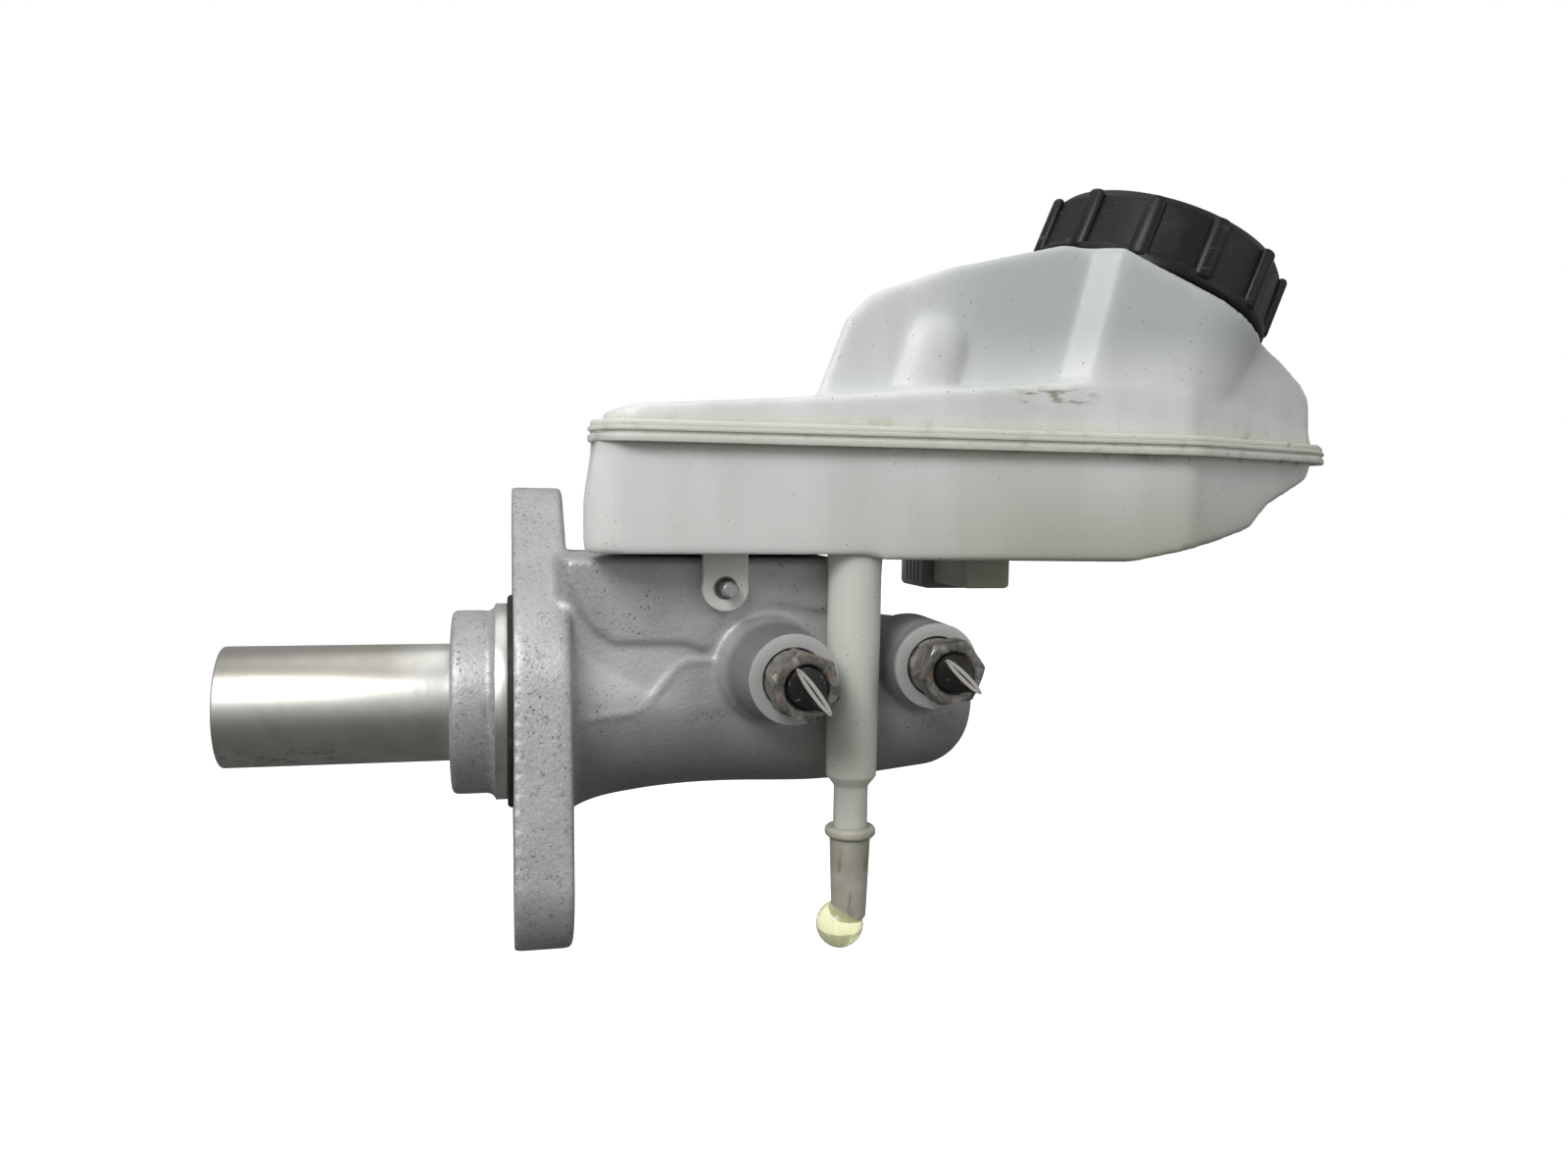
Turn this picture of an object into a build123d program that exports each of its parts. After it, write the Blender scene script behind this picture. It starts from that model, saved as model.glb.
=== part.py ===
"""Tandem brake master cylinder with a two-shell fluid reservoir.

Frame: +X along the bore towards the closed front end, +Z up to the reservoir,
origin on the bore axis in the plane of the flange's mounting face. Millimetres.
"""
import os
from math import cos, radians, sin

from build123d import *

os.makedirs("parts", exist_ok=True)

# ---- driving dimensions -------------------------------------------------
bore_r = 11.9            # 23.8 mm bore (15/16 inch)
piston_r = 11.85
bore_end = 109.5         # inner face of the closed end
barrel_end = 116.8
tube_r = 14.25           # guide tube that reaches into the booster
tube_rear = -66.0
tube_front = -2.0
collar_rear = -14.4
register_r = 24.0
seal_groove = 0.7        # depth of the groove that the booster seal sits in
seal_section_r = 1.0
flange_t = 13.0
stud_circle_r = 46.0     # two booster studs, 92 mm apart
stud_tilt = radians(35)  # line of the studs, from +Z towards +Y
stud_hole_r = 4.5
ear_r = 15.0
block_top = 36.5         # reservoir seat of the casting
block_side = 22.0
block_front = 78.0
socket_x = (34.0, 63.0)  # grommet sockets
socket_r = 9.5
socket_floor = 25.5
spout_r = 6.5
pin_x = 48.8             # reservoir retaining pin
pin_z = 29.4
pin_r = 1.9
rear_port = (61.5, 10.0, -41.0)    # x, z and face y of each brake outlet
front_port = (99.1, 11.0, -31.0)
port_r = 10.4
port_hole_r = 7.0
seam_z = 65.0            # weld plane of the two reservoir shells
rim_t = 2.4              # thickness of each weld flange
rim_w = 3.2
shell_t = 2.5
nozzle_x = 78.8          # clutch feed nozzle
nozzle_y = -29.0
cap_tilt = 22.0
cap_y = -4.0
cap_r = 31.8
cap_h = 17.0
neck_r = 28.4
float_x = 124.0
float_y = 8.0

ear_y = stud_circle_r * sin(stud_tilt)
ear_z = stud_circle_r * cos(stud_tilt)


def save(piece, name):
    piece.part.label = name
    export_step(piece.part, f"parts/{name}.step")


def turned(profile):
    """Solid of revolution about the bore axis from (x, radius) points."""
    with BuildPart() as body:
        with BuildSketch(Plane.XZ):
            with BuildLine():
                Polyline(*profile, close=True)
            make_face()
        revolve(axis=Axis.X)
    return body.part


def ring(x0, x1, r_in, r_out):
    return turned([(x0, r_in), (x1, r_in), (x1, r_out), (x0, r_out)])


# ---- cylinder casting ---------------------------------------------------
barrel_flank = [(13, 27.5), (18, 25.1), (27, 23.2), (42, 21.8), (62, 21.9), (76, 22.2), (94, 20.8), (106, 19.5)]

with BuildPart() as cylinder_body:
    with BuildSketch(Plane.YZ):
        Circle(33)
        with Locations((ear_y, ear_z), (-ear_y, -ear_z)):
            Circle(ear_r)
        make_hull()
    extrude(amount=flange_t)
    fillet(cylinder_body.edges().filter_by(GeomType.LINE, reverse=True).group_by(Axis.X)[-1], 1.2)
    with BuildSketch(Plane.XZ):
        with BuildLine():
            Polyline((13, 27.5), (5, 27.5), (5, 0), (barrel_end, 0), (barrel_end, 11))
            Spline(*barrel_flank)
            TangentArc((106, 19.5), (barrel_end, 11), tangent=(1, -0.12))
        make_face()
    revolve(axis=Axis.X)
    # reservoir seat block above the barrel
    with BuildSketch(Plane.XY):
        with Locations(((flange_t - 3 + block_front) / 2, 0)):
            RectangleRounded(block_front - flange_t + 3, 2 * block_side, 3)
    extrude(amount=block_top)
    # raised panel on each side of the block
    for side in (-1, 1):
        with BuildSketch(Plane.XZ.offset(-side * (block_side - 0.4))):
            with BuildLine():
                Polyline(
                    (12, 35.5), (12, 31), (15, 25), (18, 20.5), (22.5, 17), (39.5, 16.7), (44.8, 14.5),
                    (46.4, 20), (50.2, 22.6), (55, 26), (62, 25.8), (72, 24), (76, 24), (76, 35.5), close=True,
                )
            panel = make_face()
            fillet(panel.vertices().filter_by_position(Axis.X, 13, 75), 1.5)
        extrude(amount=-side * 1.5)
    # outlet bosses, leaning out of the barrel and widening towards their root
    for (px, pz, py), root_x, root_z, root_r in ((rear_port, 57.9, 10.0, 14.0), (front_port, 99.1, 9.5, 12.4)):
        with BuildSketch(Plane.XZ.offset(-py)):
            with Locations((px, pz)):
                Circle(port_r)
        with BuildSketch(Plane.XZ.offset(8)):
            with Locations((root_x, root_z)):
                Circle(root_r)
        loft()
    # collar, groove and register behind the flange
    add(ring(collar_rear, -6.2, 0, 22.4))
    add(ring(-6.2, -4.3, 0, 20.6))
    add(ring(-4.3, 5, 0, register_r))
    # shallow groove in the flange for the booster seal
    add(ring(-0.1, seal_groove, register_r, register_r + 2.2), mode=Mode.SUBTRACT)
    chamfer(cylinder_body.edges().filter_by(GeomType.CIRCLE).group_by(Axis.X)[0], 0.8)
    # stud holes
    with Locations(*[Pos(0, s * ear_y, s * ear_z) * Rot(0, 90, 0) for s in (-1, 1)]):
        Cylinder(stud_hole_r, 60, mode=Mode.SUBTRACT)
    # bore, guide tube counterbore, seal grooves and inlet reliefs
    add(ring(tube_front, bore_end, 0, bore_r), mode=Mode.SUBTRACT)
    add(ring(collar_rear - 1, tube_front, 0, tube_r), mode=Mode.SUBTRACT)
    for groove_x in (19.0, 30.5, 63.5, 73.5):
        add(ring(groove_x, groove_x + 4.5, 0, 15.4), mode=Mode.SUBTRACT)
    for relief_x in (25.5, 69.2):
        add(ring(relief_x, relief_x + 3, 0, 13.2), mode=Mode.SUBTRACT)
    # grommet sockets and their feed drillings
    for sx in socket_x:
        with Locations((sx, 0, socket_floor)):
            Cylinder(socket_r, 30, align=(Align.CENTER, Align.CENTER, Align.MIN), mode=Mode.SUBTRACT)
    for fx in (27.0, 70.5):
        with Locations((fx, 0, 10)):
            Cylinder(1.3, 20, align=(Align.CENTER, Align.CENTER, Align.MIN), mode=Mode.SUBTRACT)
    # retaining pin hole across the block
    with Locations(Pos(pin_x, 0, pin_z) * Rot(90, 0, 0)):
        Cylinder(pin_r, 60, mode=Mode.SUBTRACT)
    # outlet ports: thread pocket and a small drilling into the chamber
    for (px, pz, py), drill_x in ((rear_port, 60.0), (front_port, 99.1)):
        with Locations(Pos(px, py - 0.5, pz) * Rot(-90, 0, 0)):
            Cylinder(port_hole_r, 17.5, align=(Align.CENTER, Align.CENTER, Align.MIN), mode=Mode.SUBTRACT)
        with Locations(Pos(drill_x, py, 7) * Rot(-90, 0, 0)):
            Cylinder(1.5, -py - 6, align=(Align.CENTER, Align.CENTER, Align.MIN), mode=Mode.SUBTRACT)

save(cylinder_body, "cylinder_body")

# ---- guide tube and booster seal ----------------------------------------
with BuildPart() as guide_tube:
    add(ring(tube_rear, tube_front, bore_r, tube_r))
    chamfer(guide_tube.edges().group_by(Axis.X)[0], 0.7)
    add(ring(-61.6, -60.2, bore_r, 13.0), mode=Mode.SUBTRACT)
save(guide_tube, "guide_tube")

with BuildPart() as booster_seal:
    with BuildSketch(Plane.XZ):
        with Locations((seal_groove - seal_section_r, register_r + 1.1)):
            Circle(seal_section_r)
    revolve(axis=Axis.X)
save(booster_seal, "booster_seal")

# ---- pistons ------------------------------------------------------------
piston_rear = -58.6
primary_front = 36.0
spring_seat = 8.0
with BuildPart() as primary_piston:
    add(ring(piston_rear, primary_front, 0, piston_r))
    chamfer(primary_piston.edges().filter_by(GeomType.CIRCLE), 0.6)
    add(ring(spring_seat, primary_front + 1, 0, 9.0), mode=Mode.SUBTRACT)
    add(turned([(piston_rear - 1, 0), (piston_rear - 1, 6.5), (-34, 6.5), (-30.5, 4.2), (-29.5, 0)]), mode=Mode.SUBTRACT)
    add(ring(2, spring_seat, 0, 1.75), mode=Mode.SUBTRACT)
    for groove_x in (-46.0, -22.0):
        add(ring(groove_x, groove_x + 14, 11.2, 13), mode=Mode.SUBTRACT)
    with Locations(*[Pos(29.5, 0, 0) * Rot(a, 0, 0) * Pos(0, 0, 10.5) for a in range(0, 360, 60)]):
        Cylinder(0.7, 5, mode=Mode.SUBTRACT)
save(primary_piston, "primary_piston")

secondary_rear = 49.0
secondary_front = 79.5
secondary_seat = 57.0
with BuildPart() as secondary_piston:
    add(ring(secondary_rear, secondary_front, 0, piston_r))
    chamfer(secondary_piston.edges().filter_by(GeomType.CIRCLE), 0.6)
    add(ring(secondary_seat, secondary_front + 1, 0, 8.6), mode=Mode.SUBTRACT)
    with Locations(*[Pos(72.7, 0, 0) * Rot(a, 0, 0) * Pos(0, 0, 10.5) for a in range(0, 360, 60)]):
        Cylinder(0.7, 5, mode=Mode.SUBTRACT)
save(secondary_piston, "secondary_piston")

# ---- caged spring: screw, hat and the two coil springs --------------------
with BuildPart() as cage_screw:
    add(ring(2.2, 27, 0, 1.7))
    add(ring(27, 29.5, 0, 3.3))
save(cage_screw, "cage_screw")

with BuildPart() as cage_hat:
    add(turned([
        (25.4, 2.2), (25.4, 4.7), (48.2, 4.7), (48.2, 8.4), (secondary_rear, 8.4),
        (secondary_rear, 4.0), (26.2, 4.0), (26.2, 2.2),
    ]))
save(cage_hat, "cage_hat")


def coil(x0, x1, mean_r, wire_r, turns):
    """Compression spring along the bore axis."""
    with BuildPart() as spring:
        length = x1 - x0 - 2 * wire_r
        with BuildLine() as path:
            Helix(
                pitch=length / turns, height=length, radius=mean_r,
                center=(x0 + wire_r, 0, 0), direction=(1, 0, 0),
            )
        with BuildSketch(Plane(origin=path.line @ 0, z_dir=path.line % 0)):
            Circle(wire_r)
        sweep(is_frenet=True)
    return spring


primary_spring = coil(spring_seat + 0.15, 48.05, 6.8, 0.95, 7)
save(primary_spring, "primary_spring")
secondary_spring = coil(secondary_seat + 0.15, bore_end - 0.15, 6.6, 0.9, 9)
save(secondary_spring, "secondary_spring")

# ---- cup seals in their bore grooves --------------------------------------


def cup(x0, lip):
    """U-section rubber cup; lip is +1 when it opens towards the closed end."""
    back = x0 + (0.1 if lip > 0 else 4.4)
    with BuildPart() as seal:
        add(turned([
            (back, bore_r + 0.02), (back, 15.4), (back + lip * 4.2, 15.4), (back + lip * 4.2, 14.5),
            (back + lip * 1.8, 14.2), (back + lip * 1.8, 13.2), (back + lip * 4.2, 12.9),
            (back + lip * 4.2, bore_r + 0.02),
        ]))
    return seal


save(cup(19.0, 1), "rear_cup")
save(cup(63.5, -1), "separator_cup")
with BuildPart() as feed_cups:
    add(cup(30.5, 1).part)
    add(cup(73.5, 1).part)
save(feed_cups, "feed_cups")

# ---- piston stop: washer and circlip --------------------------------------
with BuildPart() as stop_washer:
    add(ring(-60.1, -58.8, 7.6, bore_r - 0.1))
save(stop_washer, "stop_washer")

with BuildPart() as circlip:
    add(ring(-61.4, -60.2, 10.6, 12.9))
    with Locations((-60.8, 0, 11.7)):
        Box(3, 5, 4, mode=Mode.SUBTRACT)
    for side in (-1, 1):
        with BuildSketch(Plane.YZ.offset(-61.4)):
            with Locations((side * 4.0, 10.2)):
                Circle(1.5)
                Circle(0.7, mode=Mode.SUBTRACT)
        extrude(amount=1.2)
save(circlip, "circlip")

# ---- tube nuts and cut brake pipes -----------------------------------------
with BuildPart() as tube_nuts:
    for px, pz, py in (rear_port, front_port):
        front = Plane(origin=(px, py - 11.5, pz), x_dir=(1, 0, 0), z_dir=(0, 1, 0))
        with BuildSketch(front):
            with Locations(Rot(0, 0, 20)):
                RegularPolygon(7.0, 6, major_radius=False)
        extrude(amount=7.5)
        with BuildSketch(front.offset(7.5)):
            Circle(6.9)
        extrude(amount=18)
        with BuildSketch(front):
            Circle(4.6)
        extrude(amount=25.5, mode=Mode.SUBTRACT)
save(tube_nuts, "tube_nuts")

with BuildPart() as pipe_stubs:
    for (px, pz, py), pinch_angle, pinch_width in ((rear_port, -53, 13.4), (front_port, -43, 12.0)):
        inner = Plane(origin=(px, py + 14.4, pz), x_dir=(1, 0, 0), z_dir=(0, -1, 0))
        with BuildSketch(inner):
            Circle(4.45)
        with BuildSketch(inner.offset(26.2)):
            Circle(4.45)
        loft()
        with BuildSketch(inner.offset(26.2)):
            Circle(4.45)
        with BuildSketch(inner.offset(32.2)):
            with Locations(Rot(0, 0, pinch_angle)):
                SlotOverall(pinch_width, 2.6)
        loft()
        with BuildSketch(inner):
            Circle(2.9)
        extrude(amount=22, mode=Mode.SUBTRACT)
save(pipe_stubs, "pipe_stubs")

# ---- grommets ---------------------------------------------------------------
for node, sx in zip(("rear_grommet", "front_grommet"), socket_x):
    with BuildPart() as grommet:
        with BuildSketch(Plane.XY.offset(socket_floor + 1)):
            with Locations((sx, 0)):
                Circle(socket_r)
        extrude(amount=block_top - socket_floor - 1)
        with BuildSketch(Plane.XY.offset(block_top)):
            with Locations((sx, 0)):
                Circle(socket_r + 1.8)
        extrude(amount=1.4)
        with BuildSketch(Plane.XY.offset(socket_floor)):
            with Locations((sx, 0)):
                Circle(spout_r)
        extrude(amount=20, mode=Mode.SUBTRACT)
    save(grommet, node)

# ---- reservoir shells ---------------------------------------------------------
# the far rear corner is cut off, so that a nut goes on the upper booster stud
shell_plan = [(18, -37), (162, -37), (211, -15), (225.5, 2), (223, 19), (196, 31), (42, 31), (26, 14)]
pan_plan = [(13.2, -37)] + shell_plan[1:-1] + [(24.5, 14)]


def walled(plan, corner_r, side, inset, z0, z1):
    """Block with a plan outline and a side outline, both moved in by inset."""
    with BuildPart() as block:
        with BuildSketch(Plane.XY.offset(z0)):
            with BuildLine():
                Polyline(*plan, close=True)
            outline = make_face()
            fillet(outline.vertices(), corner_r)
            offset(amount=-inset, mode=Mode.REPLACE)
        extrude(amount=z1 - z0)
        with BuildSketch(Plane.XZ):
            with BuildLine():
                Polyline(*side, close=True)
            make_face()
            offset(amount=-inset, kind=Kind.INTERSECTION, mode=Mode.REPLACE)
        extrude(amount=90, both=True, mode=Mode.INTERSECT)
    return block.part


def weld_rim(z0):
    """Flat flange around the seam of a reservoir shell."""
    with BuildPart() as rim:
        with BuildSketch(Plane.XY.offset(z0)):
            with BuildLine():
                Polyline(*shell_plan, close=True)
            outline = make_face()
            fillet(outline.vertices(), 8)
            offset(amount=rim_w, mode=Mode.REPLACE)
        extrude(amount=rim_t)
    return rim.part


def upright(x, y, z0, z1, r):
    """Vertical round post."""
    with BuildPart() as post:
        with BuildSketch(Plane.XY.offset(z0)):
            with Locations((x, y)):
                Circle(r)
        extrude(amount=z1 - z0)
    return post.part


def below_seam(points):
    """Side outline carried down past the seam, so that its cavity is open there."""
    return [(x, z - 8 if abs(z - seam_z) < 0.1 else z) for x, z in points]


def above_seam(points):
    """Side outline carried up past the seam, so that its cavity is open there."""
    return [(x, z + 8 if abs(z - seam_z) < 0.1 else z) for x, z in points]


lower_side = [
    (17.5, seam_z), (17.5, 61), (13, 38.2), (76, 38.0), (84, 36.8), (147, 36.4), (173, 41.2), (187, 44.6),
    (194, 50.6), (222, 62), (234, seam_z),
]
cavity_floor = 41.0
with BuildPart() as lower_shell:
    add(walled(pan_plan, 8, lower_side, 0, 30, seam_z))
    add(weld_rim(seam_z - rim_t))
    # lugs for the retaining pin, nozzle and level sensor tunnel
    for side in (-1, 1):
        with BuildSketch(Plane.XZ.offset(-side * (block_side + 1.3))):
            with Locations((pin_x, 34)):
                Rectangle(11, 9.2)
            with Locations((pin_x, pin_z)):
                Circle(5.5)
        extrude(amount=-side * 3.2)
    add(upright(nozzle_x, nozzle_y, 20, 42, 6.3))
    with BuildSketch(Plane.XY.offset(-15)):
        with Locations((nozzle_x, nozzle_y)):
            Circle(6.0)
    with BuildSketch(Plane.XY.offset(20)):
        with Locations((nozzle_x, nozzle_y)):
            Circle(6.3)
    loft()
    with BuildSketch(Plane.XY.offset(-17.5)):
        with Locations((nozzle_x, nozzle_y)):
            Circle(4.1)
    with BuildSketch(Plane.XY.offset(-15)):
        with Locations((nozzle_x, nozzle_y)):
            Circle(6.0)
    loft()
    add(upright(nozzle_x, nozzle_y, -30, -17.5, 4.1))
    add(upright(nozzle_x, nozzle_y, -47, -30, 3.6))
    with Locations((float_x, float_y + 2, 33)):
        Box(13, 25, 11)
    for sx in socket_x:
        add(upright(sx, 0, 27, 42, spout_r))
    # cavity
    add(walled(pan_plan, 8, above_seam(lower_side), shell_t, 30, seam_z + 1), mode=Mode.SUBTRACT)
    for sx in socket_x:
        add(upright(sx, 0, 20, 60, 4.6), mode=Mode.SUBTRACT)
    add(upright(nozzle_x, nozzle_y, -48, 50, 2.2), mode=Mode.SUBTRACT)
    with Locations(*[Pos(pin_x, 0, pin_z) * Rot(90, 0, 0)]):
        Cylinder(pin_r + 0.6, 60, mode=Mode.SUBTRACT)
    with Locations(Pos(float_x, float_y + 16, 31.8) * Rot(90, 0, 0)):
        Cylinder(3.6, 22, align=(Align.CENTER, Align.CENTER, Align.MIN), mode=Mode.SUBTRACT)
    # baffles between the chambers and the post that guides the float
    for bx, far_y in ((24.0, -2.0), (48.5, 29.0), (92.0, 29.0)):
        with Locations((bx, (far_y - 35) / 2, 49)):
            Box(2, far_y + 35, 20)
    with Locations((48.5, -3, 55), (92.0, -3, 55)):
        Box(4, 12, 8, mode=Mode.SUBTRACT)
    add(upright(float_x, float_y, 38, 60, 1.8))
save(lower_shell, "lower_shell")

# the cap, neck, strainer and gasket share one tilted axis
cap_axis = Vector(sin(radians(cap_tilt)), 0, cos(radians(cap_tilt)))
rim_plane = Plane(origin=(165.4, cap_y, 104.0), x_dir=(cap_axis.Z, 0, -cap_axis.X), z_dir=cap_axis)

deck_side = [(13, seam_z), (13, 67.4), (26, 71), (62, 73.6), (128, 79.2), (150, 79.2), (226, 67.6), (234, seam_z)]
bulb_side = [
    (60, seam_z), (72, 74), (79, 92.6), (85, 98.6), (105, 106.6), (129, 112.6), (137, 112.6),
    (197, 89.4), (207, 84), (217, 75), (224, seam_z),
]
# the bulb's rear end leans away from the deck, and further round towards the far side
bulb_tail = [(60, seam_z), (72, 74), (79, 92.6), (85, 98.6), (105, 106.6), (112, 108.5), (112, seam_z)]
tail_lean = (15, 61.6)
bulb_plan = [
    (88, -31), (127, -31), (136, -36.6), (161.8, -36.6), (210.6, -14.7), (224, 2), (221, 18.6),
    (194.6, 30.6), (103, 30.6),
]


def tilted(r, low, high):
    """Round boss on the cap axis; low and high are measured from the rim plane."""
    with BuildPart() as boss:
        with BuildSketch(rim_plane.offset(low)):
            Circle(r)
        extrude(amount=high - low)
    return boss.part


pocket = Plane(origin=(92, -22, 70), x_dir=(1, 0, 0), z_dir=(0.30, 0, 0.954))


def pocket_dome(r, length):
    """Leaning round-topped bulge beside the filler neck."""
    with BuildPart() as dome:
        with BuildSketch(pocket):
            Circle(r)
        extrude(amount=length)
        with Locations(pocket.offset(length).location):
            Sphere(r)
    return dome.part


def leaning_tail(side, inset):
    """Rear end of the bulb, swept across the reservoir at a slant, moved in by inset."""
    with BuildPart() as tail:
        with BuildSketch(Plane.XZ.offset(31 - inset)):
            with BuildLine():
                Polyline(*side, close=True)
            make_face()
            offset(amount=-inset, kind=Kind.INTERSECTION, mode=Mode.REPLACE)
        extrude(amount=tail_lean[1] - 2 * inset, dir=(tail_lean[0], tail_lean[1], 0))
    return tail.part


with BuildPart() as upper_shell:
    add(walled(shell_plan, 8, deck_side, 0, seam_z, 120))
    add(walled(bulb_plan, 5, bulb_side, 0, seam_z, 130))
    add(leaning_tail(bulb_tail, 0))
    add(weld_rim(seam_z))
    add(pocket_dome(11, 18))
    add(tilted(32.8, -26, -1.2))
    with Locations((170, 0, seam_z - 20)):
        Box(200, 200, 40, mode=Mode.SUBTRACT)
    add(tilted(neck_r, -4, 13.0))
    add(tilted(neck_r + 0.9, 3.5, 5.0))
    add(tilted(neck_r + 0.9, 8.0, 9.5))
    # cavity
    add(walled(shell_plan, 8, below_seam(deck_side), shell_t, seam_z - 1, 120), mode=Mode.SUBTRACT)
    add(walled(bulb_plan, 5, below_seam(bulb_side), shell_t, seam_z - 1, 130), mode=Mode.SUBTRACT)
    add(leaning_tail(below_seam(bulb_tail), shell_t), mode=Mode.SUBTRACT)
    with Locations((108, -1, (seam_z + 94) / 2)):
        Box(20, 50, 94 - seam_z, mode=Mode.SUBTRACT)
    add(pocket_dome(8.5, 18), mode=Mode.SUBTRACT)
    add(tilted(30.2, -24, -3.8), mode=Mode.SUBTRACT)
    add(tilted(26.0, -30, 14), mode=Mode.SUBTRACT)
save(upper_shell, "upper_shell")

# ---- filler: strainer, gasket and cap --------------------------------------------
with BuildPart() as strainer:
    add(tilted(25.6, -16, 13.0))
    add(tilted(neck_r - 0.4, 13.0, 14.0))
    add(tilted(24.4, -14.8, 15), mode=Mode.SUBTRACT)
    for step in range(10):
        with Locations(rim_plane.location * Rot(0, 0, 36 * step) * Pos(24, 0, -6)):
            Box(8, 8, 12, mode=Mode.SUBTRACT)
    with Locations(rim_plane.location * Pos(0, 0, -15.4)):
        with GridLocations(8, 8, 5, 5):
            Box(5, 5, 3, mode=Mode.SUBTRACT)
save(strainer, "strainer")

with BuildPart() as cap_gasket:
    add(tilted(neck_r + 0.4, 14.35, 15.6))
    add(tilted(17, 12.4, 15.6))
    add(tilted(15.8, 13.6, 16), mode=Mode.SUBTRACT)
save(cap_gasket, "cap_gasket")

with BuildPart() as filler_cap:
    add(tilted(cap_r, 0, cap_h + 1))
    chamfer(filler_cap.edges().filter_by(GeomType.CIRCLE), 1.2)
    add(tilted(cap_r + 0.9, -0.9, 2.0))
    for step in range(12):
        with BuildSketch(rim_plane.offset(0.6)):
            with Locations(Rot(0, 0, step * 30 + 25) * Pos(cap_r + 0.1, 0)):
                Ellipse(1.4, 2.3)
        extrude(amount=cap_h - 0.6)
    add(tilted(30.3, -1, 15.9), mode=Mode.SUBTRACT)
save(filler_cap, "filler_cap")

# ---- float and level sensor --------------------------------------------------------
with BuildPart() as level_float:
    add(upright(float_x, float_y, 41.0, 51.0, 9.5))
    fillet(level_float.edges().filter_by(GeomType.CIRCLE), 1.5)
    add(upright(float_x, float_y, 40, 52, 2.4), mode=Mode.SUBTRACT)
    add(upright(float_x, float_y, 40, 43.2, 6.2), mode=Mode.SUBTRACT)
save(level_float, "level_float")

with BuildPart() as float_magnet:
    add(upright(float_x, float_y, 41.2, 43.2, 6.2))
    add(upright(float_x, float_y, 40, 44, 3.0), mode=Mode.SUBTRACT)
save(float_magnet, "float_magnet")

with BuildPart() as level_sensor:
    with Locations(Pos(float_x, float_y + 16, 31.8) * Rot(90, 0, 0)):
        Cylinder(3.6, 21.5, align=(Align.CENTER, Align.CENTER, Align.MIN))
    with Locations((float_x, float_y + 23.6, 31.0)):
        Box(19, 18, 10.4)
    fillet(level_sensor.edges().filter_by(Axis.Y).group_by(Axis.Z)[0], 2)
    with Locations((float_x, float_y + 29.6, 31.0)):
        Box(15.4, 12, 7, mode=Mode.SUBTRACT)
save(level_sensor, "level_sensor")

with BuildPart() as sensor_pins:
    with Locations((float_x - 3.5, float_y + 27.6, 31.0), (float_x + 3.5, float_y + 27.6, 31.0)):
        Box(2.2, 8, 0.7)
save(sensor_pins, "sensor_pins")

# ---- retaining pin and nozzle blanking cap ---------------------------------------------
with BuildPart() as retaining_pin:
    with Locations(Pos(pin_x, 1.0, pin_z) * Rot(90, 0, 0)):
        Cylinder(pin_r, 63)
    chamfer(retaining_pin.edges().filter_by(GeomType.CIRCLE), 0.4)
save(retaining_pin, "retaining_pin")

with BuildPart() as nozzle_cap:
    with BuildSketch(Plane.XY.offset(-50.5)):
        with Locations((nozzle_x, nozzle_y)):
            Circle(4.1)
    with BuildSketch(Plane.XY.offset(-29.4)):
        with Locations((nozzle_x, nozzle_y)):
            Circle(4.9)
    loft()
    fillet(nozzle_cap.edges().group_by(Axis.Z)[0], 1.4)
    add(upright(nozzle_x, nozzle_y, -29.8, -27.4, 6.1))
    fillet(nozzle_cap.edges().filter_by(GeomType.CIRCLE).group_by(SortBy.RADIUS)[-1], 1.1)
    add(upright(nozzle_x, nozzle_y, -30, -20, 4.1), mode=Mode.SUBTRACT)
    add(upright(nozzle_x, nozzle_y, -47, -29.9, 3.6), mode=Mode.SUBTRACT)
save(nozzle_cap, "nozzle_cap")

with BuildPart() as drip_plug:
    with Locations((nozzle_x - 2.0, nozzle_y + 0.5, -51.6)):
        Sphere(5.7)
    with BuildSketch(Plane.XY.offset(-50.5)):
        with Locations((nozzle_x, nozzle_y)):
            Circle(4.1)
    with BuildSketch(Plane.XY.offset(-29.4)):
        with Locations((nozzle_x, nozzle_y)):
            Circle(4.9)
    loft(mode=Mode.SUBTRACT)
save(drip_plug, "drip_plug")
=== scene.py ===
# Car brake master cylinder with its plastic fluid reservoir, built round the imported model.
# Frame: +X along the bore to the closed front end, +Z up to the reservoir, origin on the
# bore axis in the plane of the flange's mounting face. Metres; "mm" turns the sizes below.
import math

import bmesh
import bpy
from mathutils import Matrix, Vector


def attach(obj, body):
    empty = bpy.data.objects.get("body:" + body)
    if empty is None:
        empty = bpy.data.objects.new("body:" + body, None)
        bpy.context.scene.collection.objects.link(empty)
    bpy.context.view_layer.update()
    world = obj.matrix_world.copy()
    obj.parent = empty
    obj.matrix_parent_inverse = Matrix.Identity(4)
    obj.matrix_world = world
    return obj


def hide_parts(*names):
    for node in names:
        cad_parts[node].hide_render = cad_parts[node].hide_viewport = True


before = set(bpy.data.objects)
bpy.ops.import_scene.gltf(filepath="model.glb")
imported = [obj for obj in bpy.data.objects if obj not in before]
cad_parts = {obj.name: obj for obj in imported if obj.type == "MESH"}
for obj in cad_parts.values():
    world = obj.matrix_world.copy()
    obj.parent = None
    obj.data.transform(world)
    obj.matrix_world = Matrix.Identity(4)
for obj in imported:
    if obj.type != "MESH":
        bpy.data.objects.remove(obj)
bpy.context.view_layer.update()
mm = 0.001

# ---- cylinder casting ------------------------------------------------------------------
# The aluminium body: barrel, two-eared flange, reservoir seat block and two outlet bosses.
# It is cast, so every unmachined edge is rounded and its skin is finely pebbled, with pits,
# a raised parting line and soot-grey oil marks by the flange. The shader and mesh helpers
# that the later sections share come first.


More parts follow.
